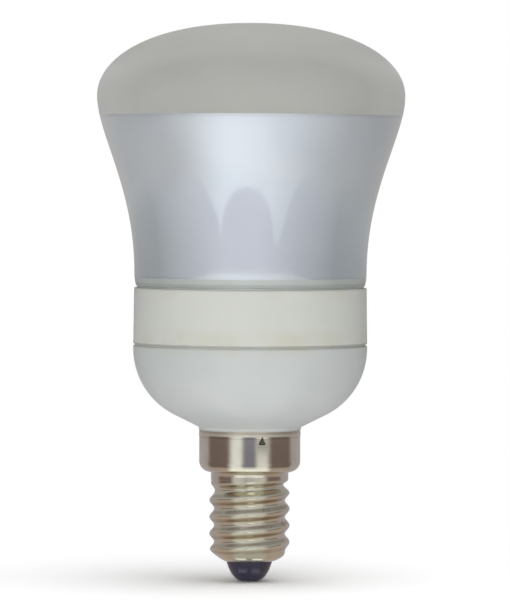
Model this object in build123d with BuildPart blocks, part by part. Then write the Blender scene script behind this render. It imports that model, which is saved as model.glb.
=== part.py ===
from build123d import *
from math import cos, pi, radians, sin, tan
import os

# A reflector lamp with a small Edison screw cap, standing on its cap. Millimetres.
# The origin is the tip of the centre contact, and +Z runs up the axis to the dome.

# Reflector glass
head_radius = 26.0          # at the equator, the widest ring
dome_height = 12.3          # from the equator to the top
dome_crown = 17.0           # how far out the dome stays flat
dome_shoulder = 6.4         # how far up the dome stays steep
reflector_height = 32.05    # from the equator down to the glass's lower edge
neck_radius = 19.62         # the reflector at its lower edge
reflector_head_pull = 6.5   # how far down the reflector keeps the head's width
reflector_neck_pull = 16.6  # how far up it keeps the neck's width
glass_tuck_height = 2.2     # the last of the glass, which draws in
glass_tuck = 0.3            # how far it draws in
glass_edge_round = 0.25

# Collar ring
collar_height = 9.5
collar_stand_out = 0.03     # how far its top stands out past the glass
collar_draft = 0.12         # how much wider it is at its bottom, where it meets the housing
collar_wall = 1.7           # at its top
collar_edge_round = 0.2
shelf_thickness = 1.2       # the shelf inside that carries the glass
shelf_width = 2.2
lap_depth = 3.0             # how far the housing reaches into the collar
lap_clearance = 0.1         # radial, of the glass and of the housing in the collar
seam_gap = 0.25             # the open line at each of the two seams

# Ballast housing
housing_side = 0.54         # the straight band above the bowl's curve
bowl_round = 12.5           # radius of the bowl's curve
bowl_slope = 26.5           # degrees, of the bowl's cone above the level
housing_edge_round = 0.2
foot_lip = 0.43             # the short upright edge of the bowl's foot, on the cap
foot_round = 0.35           # rounding between that edge and the bowl's cone
foot_overhang = 0.02        # how far the bowl's foot stands out past the cap's rim

# Screw shell
sheet = 0.35                # wall of the shell
thread_pitch = 2.822
thread_radius = 6.8         # at the crests
thread_depth = 0.8
thread_height = 13.9        # from the shell's end to the neck
sections_per_turn = 8       # level sections that the thread is drawn through
first_crest = 3.18          # height above the shell's end where a crest crosses the +X side
run_in = 3.4                # height over which the groove deepens at the shell's end
run_out = 1.0               # height over which it dies away below the neck
waist_drop = 0.35           # how much narrower the barrel is where the thread runs out
waist_below = 1.3           # from the neck down to the middle of that waist
waist_reach = 1.3           # how far the waist reaches up and down from its middle
end_round_height = 2.7      # the rounded end below the thread
end_round_power = 2.6       # how full that rounding is
opening_radius = 3.95       # hole for the insulator
neck_drop = 0.25            # how far the neck stays inside the crests
neck_height = 1.2
skirt_radius = 8.55
skirt_height = 7.13
skirt_round = 1.8           # rounding of the skirt's lower corner
rim_height = 1.1            # the rolled rim at the skirt's top
rim_proud = 0.06
plug_clearance = 0.05       # radial, of the housing's plug in the skirt
plug_gap = 0.15             # from the plug's end down to the skirt's rounded corner

# Stakes that hold the shell on the housing
stake_count = 3
stake_turn = 14.4           # degrees, from the front towards +X
stake_width = 1.7
stake_height = 1.5
stake_floor = 0.07          # sheet left under a stake
stake_lap = 0.4             # how far a stake reaches up over the rim's lower edge
stake_taper = 38.0          # degrees, of the stake's sides

# Insulator and centre contact
insulator_height = 3.4      # from its end face to the shell's end
insulator_end_rim = 0.15    # the flat ring around the contact
insulator_end_pull = 1.05   # how far out its end stays flat
insulator_side_pull = 1.97  # how far down its side stays straight
insulator_lean = 13.0       # degrees, of its side at the shell's end
insulator_fit = 0.05        # radial, of the insulator in the shell's opening
seat_rise = 0.6             # from the shell's end to the insulator's seat inside
seat_height = 1.5           # of the seat's cone
flange_height = 1.3         # of the insulator above its seat
flange_clearance = 0.1
contact_radius = 1.2
contact_thickness = 0.5
contact_proud = 0.12
contact_edge_round = 0.1
contact_clearance = 0.05
shank_radius = 0.7

# Heights up the axis
insulator_end = contact_proud
shell_end = insulator_end + insulator_height
thread_top = shell_end + thread_height
skirt_bottom = thread_top + neck_height
shell_top = skirt_bottom + skirt_height
rim_bottom = shell_top - rim_height
plug_end = skirt_bottom + skirt_round + plug_gap

# Radii that follow
collar_top_radius = neck_radius + collar_stand_out
housing_radius = collar_top_radius + collar_draft
neck_outside = thread_radius - neck_drop
shell_bore = thread_radius - thread_depth - waist_drop - sheet
rim_radius = skirt_radius + rim_proud
skirt_bore = skirt_radius - sheet
plug_radius = skirt_bore - plug_clearance
foot_radius = rim_radius + foot_overhang
collar_bore = collar_top_radius - collar_wall
lap_radius = collar_bore - lap_clearance

# The bowl's cone meets its curve at a tangent
slope = radians(bowl_slope)
curve_start_radius = housing_radius - bowl_round * (1 - sin(slope))
lip_top = shell_top + foot_lip
curve_start = lip_top + (curve_start_radius - foot_radius) * tan(slope)
curve_end = curve_start + bowl_round * cos(slope)
housing_top = curve_end + housing_side
lap_top = housing_top + lap_depth
shelf_top = lap_top + shelf_thickness
collar_bottom = housing_top + seam_gap
collar_top = collar_bottom + collar_height
glass_edge = collar_top + seam_gap
equator = glass_edge + reflector_height
dome_top = equator + dome_height

# The insulator's seat is a cone that leads from the shell's opening to its bore
seat_start = shell_end + seat_rise
seat_end = seat_start + seat_height
seat_slope = seat_height / (shell_bore - opening_radius)
throat_radius = opening_radius - insulator_fit
flange_radius = shell_bore - flange_clearance
recess_radius = contact_radius + contact_clearance
end_radius = recess_radius + insulator_end_rim
lean = radians(insulator_lean)


def thread_section(height):
    """Radius, throw and turn of the barrel's round section at a height above the shell's end.

    A rolled thread cut level is a circle set off the axis, which turns once in each pitch.
    """
    deepening = sin(pi / 2 * min(height / run_in, 1))
    below_neck = thread_height - height
    dying = sin(pi / 2 * min(below_neck / run_out, 1)) ** 2
    crest = neck_outside + (thread_radius - neck_outside) * dying
    if height < end_round_height:
        lip_radius = opening_radius + sheet
        rise = 1 - (1 - height / end_round_height) ** end_round_power
        crest = lip_radius + (thread_radius - lip_radius) * rise
    from_waist = min(abs(below_neck - waist_below) / waist_reach, 1)
    crest -= waist_drop * cos(pi / 2 * from_waist) ** 2
    throw = thread_depth / 2 * deepening * dying
    turn = 2 * pi * (height - first_crest) / thread_pitch
    return crest - throw, throw, turn


os.makedirs("parts", exist_ok=True)

with BuildPart() as reflector_glass:
    with BuildSketch(Plane.XZ):
        with BuildLine():
            Bezier(
                (0, dome_top),
                (dome_crown, dome_top),
                (head_radius, equator + dome_shoulder),
                (head_radius, equator),
            )
            Bezier(
                (head_radius, equator),
                (head_radius, equator - reflector_head_pull),
                (neck_radius, glass_edge + reflector_neck_pull),
                (neck_radius, glass_edge + glass_tuck_height),
            )
            TangentArc(
                (neck_radius, glass_edge + glass_tuck_height),
                (neck_radius - glass_tuck, glass_edge),
                tangent=(0, -1),
            )
            Polyline(
                (neck_radius - glass_tuck, glass_edge),
                (lap_radius, glass_edge),
                (lap_radius, shelf_top),
                (0, shelf_top),
                (0, dome_top),
            )
        make_face()
    revolve(axis=Axis.Z)
    lower_edges = reflector_glass.edges().filter_by_position(Axis.Z, glass_edge, glass_edge)
    fillet(lower_edges.sort_by(SortBy.RADIUS)[-1], radius=glass_edge_round)

with BuildPart() as collar_ring:
    with BuildSketch(Plane.XZ):
        with BuildLine():
            Polyline(
                (collar_bore, collar_bottom),
                (housing_radius, collar_bottom),
                (collar_top_radius, collar_top),
                (collar_bore, collar_top),
                (collar_bore, shelf_top),
                (collar_bore - shelf_width, shelf_top),
                (collar_bore - shelf_width, lap_top),
                (collar_bore, lap_top),
                close=True,
            )
        make_face()
    revolve(axis=Axis.Z)
    outer_edges = collar_ring.edges().filter_by(GeomType.CIRCLE).sort_by(SortBy.RADIUS)[-2:]
    fillet(outer_edges, radius=collar_edge_round)

with BuildPart() as ballast_housing:
    with BuildSketch(Plane.XZ):
        with BuildLine():
            Polyline(
                (0, plug_end),
                (plug_radius, plug_end),
                (plug_radius, shell_top),
                (foot_radius, shell_top),
                (foot_radius, lip_top),
                (curve_start_radius, curve_start),
            )
            TangentArc(
                (curve_start_radius, curve_start),
                (housing_radius, curve_end),
                tangent=(cos(slope), sin(slope)),
            )
            Line((housing_radius, curve_end), (housing_radius, housing_top - housing_edge_round))
            TangentArc(
                (housing_radius, housing_top - housing_edge_round),
                (housing_radius - housing_edge_round, housing_top),
                tangent=(0, 1),
            )
            Polyline(
                (housing_radius - housing_edge_round, housing_top),
                (lap_radius, housing_top),
                (lap_radius, lap_top),
                (0, lap_top),
                (0, plug_end),
            )
        make_face()
    revolve(axis=Axis.Z)
    lip_edges = ballast_housing.edges().filter_by_position(Axis.Z, lip_top, lip_top)
    fillet(lip_edges, radius=foot_round)

with BuildPart() as screw_shell:
    # Threaded barrel, from its rounded end up to the neck
    section_count = round(thread_height / thread_pitch * sections_per_turn)
    for index in range(section_count + 1):
        height = thread_height * index / section_count
        radius, throw, turn = thread_section(height)
        with BuildSketch(Plane.XY.offset(shell_end + height)):
            with Locations((throw * cos(turn), throw * sin(turn))):
                Circle(radius)
    loft()
    # Neck, skirt and rolled rim
    with BuildSketch(Plane.XZ):
        with BuildLine():
            Polyline(
                (0, thread_top),
                (neck_outside, thread_top),
                (neck_outside, skirt_bottom),
                (skirt_radius - skirt_round, skirt_bottom),
            )
            TangentArc(
                (skirt_radius - skirt_round, skirt_bottom),
                (skirt_radius, skirt_bottom + skirt_round),
                tangent=(1, 0),
            )
            Line((skirt_radius, skirt_bottom + skirt_round), (skirt_radius, rim_bottom))
            TangentArc(
                (skirt_radius, rim_bottom),
                (rim_radius, rim_bottom + rim_proud),
                tangent=(1, 0),
            )
            Line((rim_radius, rim_bottom + rim_proud), (rim_radius, shell_top - rim_proud))
            TangentArc(
                (rim_radius, shell_top - rim_proud),
                (skirt_radius, shell_top),
                tangent=(0, 1),
            )
            Polyline((skirt_radius, shell_top), (0, shell_top), (0, thread_top))
        make_face()
    revolve(axis=Axis.Z)
    # Hollow inside, down to the opening for the insulator
    with BuildSketch(Plane.XZ):
        with BuildLine():
            Polyline(
                (0, shell_end),
                (opening_radius, shell_end),
                (opening_radius, seat_start),
                (shell_bore, seat_end),
                (shell_bore, thread_top),
                (neck_outside - sheet, thread_top),
                (neck_outside - sheet, skirt_bottom + sheet),
                (skirt_bore - skirt_round + sheet, skirt_bottom + sheet),
            )
            TangentArc(
                (skirt_bore - skirt_round + sheet, skirt_bottom + sheet),
                (skirt_bore, skirt_bottom + skirt_round),
                tangent=(1, 0),
            )
            Polyline(
                (skirt_bore, skirt_bottom + skirt_round),
                (skirt_bore, shell_top),
                (0, shell_top),
                (0, shell_end),
            )
        make_face()
    revolve(axis=Axis.Z, mode=Mode.SUBTRACT)
    # Stakes punched into the skirt under the rim
    for index in range(stake_count):
        angle = radians(stake_turn - 90 + 360 / stake_count * index)
        outward = Vector(cos(angle), sin(angle), 0)
        stake_plane = Plane(
            origin=outward * rim_radius + Vector(0, 0, rim_bottom + stake_lap),
            x_dir=(-sin(angle), cos(angle), 0),
            z_dir=outward,
        )
        with BuildSketch(stake_plane):
            Polygon(
                (0, 0),
                (-stake_width / 2, -stake_height),
                (stake_width / 2, -stake_height),
                align=None,
            )
        stake_depth = rim_proud + sheet - stake_floor
        extrude(amount=-stake_depth, taper=stake_taper, mode=Mode.SUBTRACT)

with BuildPart() as cap_insulator:
    with BuildSketch(Plane.XZ):
        with BuildLine():
            Line((0, insulator_end), (end_radius, insulator_end))
            side_low_radius = throat_radius - insulator_side_pull * sin(lean)
            side_low = shell_end - insulator_side_pull * cos(lean)
            Bezier(
                (end_radius, insulator_end),
                (end_radius + insulator_end_pull, insulator_end),
                (side_low_radius, side_low),
                (throat_radius, shell_end),
            )
            Polyline(
                (throat_radius, shell_end),
                (throat_radius, seat_start - insulator_fit * seat_slope),
                (flange_radius, seat_end - flange_clearance * seat_slope),
                (flange_radius, seat_end + flange_height),
                (0, seat_end + flange_height),
                (0, insulator_end),
            )
        make_face()
    revolve(axis=Axis.Z)
    # Recess and bore for the contact
    with Locations((0, 0, insulator_end)):
        Cylinder(
            recess_radius,
            contact_thickness - contact_proud,
            align=(Align.CENTER, Align.CENTER, Align.MIN),
            mode=Mode.SUBTRACT,
        )
    Hole(shank_radius + contact_clearance)

with BuildPart() as centre_contact:
    with BuildSketch():
        Circle(contact_radius)
    extrude(amount=contact_thickness)
    fillet(centre_contact.edges().group_by(Axis.Z)[0], radius=contact_edge_round)
    with BuildSketch(Plane.XY.offset(contact_thickness)):
        Circle(shank_radius)
    extrude(amount=seat_end + flange_height - contact_thickness)

reflector_glass.part.label = "reflector_glass"
export_step(reflector_glass.part, "parts/reflector_glass.step")

collar_ring.part.label = "collar_ring"
export_step(collar_ring.part, "parts/collar_ring.step")

ballast_housing.part.label = "ballast_housing"
export_step(ballast_housing.part, "parts/ballast_housing.step")

screw_shell.part.label = "screw_shell"
export_step(screw_shell.part, "parts/screw_shell.step")

cap_insulator.part.label = "cap_insulator"
export_step(cap_insulator.part, "parts/cap_insulator.step")

centre_contact.part.label = "centre_contact"
export_step(centre_contact.part, "parts/centre_contact.step")
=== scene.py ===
"""Dresses the reflector bulb: its glass, white plastic and screw cap, and the stage that it stands on."""

from math import asin, atan, cos, degrees, hypot, pi, radians, sin, tan

import bmesh
import bpy
from bpy.props import FloatProperty, FloatVectorProperty, IntProperty, PointerProperty
from bpy.types import Operator, Panel, PropertyGroup
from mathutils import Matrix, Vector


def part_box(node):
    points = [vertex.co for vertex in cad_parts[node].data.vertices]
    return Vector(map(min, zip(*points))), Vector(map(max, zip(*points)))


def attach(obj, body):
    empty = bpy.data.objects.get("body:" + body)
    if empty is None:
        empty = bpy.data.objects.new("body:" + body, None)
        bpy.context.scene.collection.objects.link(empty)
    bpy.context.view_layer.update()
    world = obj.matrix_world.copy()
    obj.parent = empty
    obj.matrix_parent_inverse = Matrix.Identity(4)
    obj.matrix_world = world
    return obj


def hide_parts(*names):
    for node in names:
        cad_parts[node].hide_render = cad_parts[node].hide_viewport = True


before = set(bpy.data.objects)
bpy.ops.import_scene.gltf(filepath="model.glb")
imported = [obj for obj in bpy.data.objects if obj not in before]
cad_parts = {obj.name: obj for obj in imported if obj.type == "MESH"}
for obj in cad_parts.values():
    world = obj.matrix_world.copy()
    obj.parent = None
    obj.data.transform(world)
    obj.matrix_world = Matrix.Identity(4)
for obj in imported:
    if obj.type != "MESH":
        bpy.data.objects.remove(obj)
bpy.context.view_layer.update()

bl_info = {
    "name": "Reflector Bulb",
    "version": (1, 0, 0),
    "blender": (4, 5, 0),
    "location": "3D View > Sidebar > Reflector Bulb",
    "description": "Builds a small reflector bulb with a screw cap, and a stage to show it on",
    "category": "Add Mesh",
}

MM = 0.001
GLASS_LOW, GLASS_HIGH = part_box("reflector_glass")
COLLAR_LOW, COLLAR_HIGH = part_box("collar_ring")
HOUSING_LOW, HOUSING_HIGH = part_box("ballast_housing")
SHELL_LOW, SHELL_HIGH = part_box("screw_shell")
INSULATOR_LOW, INSULATOR_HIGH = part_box("cap_insulator")
CONTACT_LOW, CONTACT_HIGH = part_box("centre_contact")
SHARP_ANGLE = radians(40)
WHITE, BLACK = (1.0, 1.0, 1.0), (0.0, 0.0, 0.0)
SEAM_CLEARANCE = 0.02 * MM
CAP_CLEARANCE = 0.05 * MM


# Properties

def number(description, default, **more):
    """A number that gets its name later. more says what it is measured in."""
    return lambda name: FloatProperty(name=name, description=description, default=default, **more)


def length(description, millimetres):
    """A size, given in millimetres and kept in metres."""
    return number(description, millimetres * MM, min=0.0, precision=5, subtype="DISTANCE", unit="LENGTH")


def height(description, millimetres):
    """A height above the tip of the centre contact."""
    return length(description + ", above the tip of the contact", millimetres)


def turn(description, angle):
    """An angle, given in degrees and kept in radians."""
    return number(description, radians(angle), subtype="ANGLE", unit="ROTATION")


def power(description, watts):
    """The power of a light."""
    return number(description, watts, min=0.0, unit="POWER")


def count(description, default):
    """How many there are of something."""
    return lambda name: IntProperty(name=name, description=description, default=default, min=1)


def colour(description, *levels):
    """A colour, given as a screen shows it, 0 to 255, and kept as the light that it stands for."""
    def light(level):
        level = level / 255
        return level / 12.92 if level <= 0.04045 else ((level + 0.055) / 1.055) ** 2.4
    default = [light(level) for level in levels]
    return lambda name: FloatVectorProperty(
        name=name, description=description, default=default, size=3, min=0.0, max=1.0, subtype="COLOR")


def labelled(group):
    """Makes a group's properties, each named by its own word: Dome height for dome_height."""
    for word, make in group.__annotations__.items():
        group.__annotations__[word] = make(word.replace("_", " ").capitalize())
    return group


@labelled
class GlassSettings(PropertyGroup):
    """Sizes and colours of the glass envelope."""

    head_radius: length("Widest ring of the glass", GLASS_HIGH.x / MM)
    dome_height: length("From the widest ring to the top", 12.3)
    wall_height: length("From the widest ring to the lower edge", 32.05)
    dome_crown: length("How far out the dome stays flat", 17.0)
    dome_shoulder: length("How far up the dome stays steep", 6.4)
    neck_radius: length("The flared wall at its lower edge", 19.62)
    head_pull: length("How far down the wall keeps the head's width", 6.5)
    neck_pull: length("How far up the wall keeps the neck's width", 16.6)
    tuck_height: length("The last of the wall, which draws in", 2.2)
    tuck: length("How far the last of the wall draws in", 0.3)
    edge_round: length("Rounding of the lower edge", 0.25)
    stub_radius: length("The part of the glass inside the collar", 17.85)
    frost_line: height("Where the frosting ends and the silver begins", 78.75)
    silver_line: height("Where the silver ends near the lower edge", 51.45)
    # The dome's colour gets painted shade between these two heights.
    shade_low: height("Where the darker shoulder of the dome begins", 83.5)
    shade_high: height("Where the darker shoulder of the dome ends", 90.4)
    frost: colour("Frosted dome", 180, 181, 176)
    # Painted sheen: the colour the frosted dome takes where it turns away.
    frost_edge: colour("Frosted dome where it turns away", 204, 204, 201)
    silver: colour("Aluminised wall", 227, 234, 241)
    bare: colour("Strip at the lower edge with little silver", 198, 204, 201)


@labelled
class PlasticSettings(PropertyGroup):
    """Sizes and colours of the collar and the ballast housing."""

    collar_radius: length("Outside of the collar at its top", 19.65)
    collar_bore: length("Inside of the collar", 17.95)
    collar_round: length("Rounding of the edges at the seams", 0.2)
    shelf_width: length("Shelf inside the collar", 2.2)
    housing_radius: length("Straight side of the housing", HOUSING_HIGH.x / MM)
    housing_side: length("Straight band above the bowl", 0.54)
    seam_gap: length("Open line between the collar and the housing", 0.25)
    seam_depth: length("How deep that line is, before dirt fills it", 0.3)
    bowl_round: length("Radius of the bowl's curve", 12.5)
    bowl_slope: turn("Slope of the bowl's cone above the level", 26.5)
    foot_radius: length("The bowl's foot, on the cap", 8.63)
    foot_lip: length("Short upright edge of the bowl's foot", 0.43)
    foot_round: length("Rounding between that edge and the bowl's cone", 0.35)
    lap_radius: length("The housing where it reaches into the collar", 17.85)
    plug_radius: length("The housing where it reaches into the cap", 8.15)
    collar: colour("White plastic of the collar", 218, 220, 213)
    housing: colour("White plastic of the housing", 208, 212, 211)
    # Painted bounce light: a warm tint along the seams, standing for light thrown back between the parts.
    yellowing: colour("Aged plastic along the seams", 203, 198, 165)
    grime: colour("Dirt in the seams", 122, 120, 112)


@labelled
class CapSettings(PropertyGroup):
    """Sizes and colours of the screw shell, its insulator and the centre contact."""

    sheet: length("Wall of the shell", 0.35)
    pitch: length("Rise of the thread in one turn", 2.822)
    thread_radius: length("Crests of the thread", 6.8)
    thread_depth: length("From the crests to the roots", 0.8)
    thread_height: length("From the shell's end to the neck", 13.9)
    first_crest: length("Height in the shell of the crest on the +X side", 3.18)
    run_in: length("Height over which the groove deepens", 3.4)
    run_out: length("Height over which the groove dies away", 1.0)
    waist_drop: length("How much narrower the barrel is where the thread runs out", 0.35)
    waist_below: length("From the neck down to the middle of that waist", 1.3)
    waist_reach: length("How far the waist reaches up and down", 1.3)
    end_height: length("Rounded end below the thread", 2.7)
    end_power: number("Fullness of the rounded end", 2.6, min=1.0)
    opening_radius: length("Hole for the insulator", 3.95)
    neck_radius: length("Neck between the thread and the skirt", 6.55)
    neck_height: length("Neck between the thread and the skirt", 1.2)
    neck_round: length("Rounding between the neck and the skirt", 0.3)
    skirt_radius: length("Plain skirt", 8.55)
    skirt_round: length("Lower corner of the skirt", 1.8)
    rim_height: length("Rolled rim at the skirt's top", 1.1)
    rim_proud: length("How far the rim stands out", 0.06)
    rim_ease: length("Height over which the rim comes out of the skirt", 0.2)
    stake_count: count("Stakes around the skirt", 3)
    stake_turn: turn("First stake, from the front towards +X", 14.4)
    stake_width: length("Base of a stake", 1.7)
    stake_height: length("From a stake's tip to its base", 1.5)
    stake_depth: length("How deep a stake is pressed below the rim", 0.34)
    stake_lap: length("How far a stake reaches over the rim", 0.4)
    stake_taper: turn("Slope of a stake's sides", 38.0)
    cone_rim: length("Flat ring of the insulator around the contact", 0.15)
    cone_end_pull: length("How far out the insulator's end stays flat", 1.05)
    cone_side_pull: length("How far down its side stays straight", 1.97)
    cone_lean: turn("Slope of its side at the shell's end", 13.0)
    eyelet_thickness: length("Head of the contact", 0.5)
    eyelet_round: length("Edge of the contact's head", 0.1)
    shank_radius: length("Shank of the contact", 0.7)
    nickel: colour("Plated sheet", 214, 212, 198)
    # Also gives the painted shadow on the rim's top, under the housing's foot.
    tarnish: colour("Dulled nickel on the thread's flanks", 158, 138, 118)
    # Painted shade in the stake dents, and a dark line under the rim.
    grime: colour("Dirt in the stakes and under the rim", 74, 66, 54)
    black_glass: colour("Insulator", 47, 44, 65)
    tin: colour("Tinned contact", 196, 192, 184)


@labelled
class StageSettings(PropertyGroup):
    """Camera, light and floor, and the colours of the cards that only reflections show."""

    camera_distance: length("From the bulb's axis", 700)
    camera_height: height("Height of the lens", 67.4)
    camera_offset: length("How far right of the axis the lens is", 0.7)
    camera_dip: turn("How far the camera looks down", 1.617)
    camera_roll: turn("How far the camera leans to the left", 0.24)
    lens: number("Focal length in millimetres", 248.6, min=1.0, unit="CAMERA")
    ambient: number("Light from all around", 0.24, min=0.0)
    key_power: power("Soft light in front", 2.9)
    key_width: length("Width of the light in front", 420)
    key_height: length("Height of the light in front", 200)
    top_power: power("Soft light overhead", 2.25)
    top_size: length("Side of the light overhead", 620)
    table_power: power("Light that the pale table throws back up", 0.0082)
    table_size: length("Side of the light on the table", 120)
    floor_size: length("Side of the floor", 6000)
    shadow_low: length("How near the bulb the floor shows all of its shadow", 12)
    shadow_high: length("How far off the floor is plain white", 90)
    wrap_glow: turn("Brightest side of the wrap, from the front towards +X", -15.0)
    wrap_front: colour("The wrap at its brightest side", 251, 251, 252)
    wrap_side: colour("The wrap on the left", 195, 193, 191)
    skirt_strip: colour("Strip in front of the skirt", 140, 140, 158)
    skirt_side: colour("The skirt's ring at the sides", 126, 109, 106)
    cap_back: colour("Both of the cap's rings behind", 184, 176, 180)
    thread_side: colour("The thread's ring at the sides", 190, 174, 162)
    thread_front: colour("The thread's ring in front", 228, 227, 216)
    thread_dish: colour("The floor in front of the thread", 226, 222, 210)
    flag: colour("Low card before the glass at its middle", 226, 224, 229)
    flag_side: colour("Low card before the glass at its ends", 171, 172, 171)


# Outlines, as lists of (radius, height)

def bezier(start, pull_start, pull_end, end, steps):
    """Points along a cubic curve, both ends included."""
    corners = start, pull_start, pull_end, end
    points = []
    for step in range(steps + 1):
        at = step / steps
        back = 1 - at
        weights = back ** 3, 3 * at * back ** 2, 3 * at ** 2 * back, at ** 3
        points.append(tuple(sum(w * c[axis] for w, c in zip(weights, corners)) for axis in (0, 1)))
    return points


def arc(centre, radius, start, end, steps):
    """Points along an arc, both ends included. Angles are in degrees from the outward direction."""
    points = []
    for step in range(steps + 1):
        angle = radians(start + (end - start) * step / steps)
        points.append((centre[0] + radius * cos(angle), centre[1] + radius * sin(angle)))
    return points


def line(start, end, steps):
    """Points along a straight line, both ends included."""
    return [
        (start[0] + (end[0] - start[0]) * step / steps, start[1] + (end[1] - start[1]) * step / steps)
        for step in range(steps + 1)
    ]


def with_height(outline, wanted):
    """The outline with one more point where it first crosses a height."""
    for index, (first, second) in enumerate(zip(outline, outline[1:])):
        if min(first[1], second[1]) < wanted < max(first[1], second[1]):
            part = (wanted - first[1]) / (second[1] - first[1])
            radius = first[0] + part * (second[0] - first[0])
            return outline[:index + 1] + [(radius, wanted)] + outline[index + 1:]
    return outline


# Meshes

def add_object(name, data):
    """Puts a mesh, a light or a camera in the scene."""
    made = bpy.data.objects.new(name, data)
    bpy.context.scene.collection.objects.link(made)
    return made


def finish_mesh(name, vertices, faces):
    """An object made of these faces, facing outwards, smooth but for its sharp corners."""
    mesh = bpy.data.meshes.new(name)
    mesh.from_pydata(vertices, [], faces)
    shape = bmesh.new()
    shape.from_mesh(mesh)
    bmesh.ops.remove_doubles(shape, verts=shape.verts, dist=0.0005 * MM)
    bmesh.ops.recalc_face_normals(shape, faces=shape.faces)
    shape.to_mesh(mesh)
    shape.free()
    mesh.shade_smooth()
    mesh.set_sharp_from_angle(angle=SHARP_ANGLE)
    return add_object(name, mesh)


def join_rings(rings, closed):
    """Vertices and faces of a skin over rings. A ring of one point closes an end."""
    vertices = [point for ring in rings for point in ring]
    starts = [0]
    for ring in rings:
        starts.append(starts[-1] + len(ring))
    pairs = list(zip(range(len(rings) - 1), range(1, len(rings))))
    if closed:
        pairs.append((len(rings) - 1, 0))
    faces = []
    for lower, upper in pairs:
        for step in range(max(len(rings[lower]), len(rings[upper]))):
            corners = []
            for ring, offset in ((lower, step), (lower, step + 1), (upper, step + 1), (upper, step)):
                corner = starts[ring] + offset % len(rings[ring])
                if corner not in corners:
                    corners.append(corner)
            faces.append(corners)
    return vertices, faces


def around(radius, angle, level):
    """A point at an angle round the axis, from +X."""
    return radius * cos(angle), radius * sin(angle), level


def lathe(name, outline, segments, closed=False):
    """Turns an outline around the axis. An outline that isn't closed starts and ends on the axis."""
    angles = [2 * pi * step / segments for step in range(segments)]
    rings = []
    for radius, level in outline:
        rings.append([around(radius, angle, level) for angle in (angles if radius else [0.0])])
    return finish_mesh(name, *join_rings(rings, closed))


def place(piece, node, slot, *materials):
    """Gives a piece its materials and lets it stand for a node of the frame."""
    for material in materials:
        piece.data.materials.append(material)
    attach(piece, "root")
    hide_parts(node)


# Shader nodes

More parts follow.
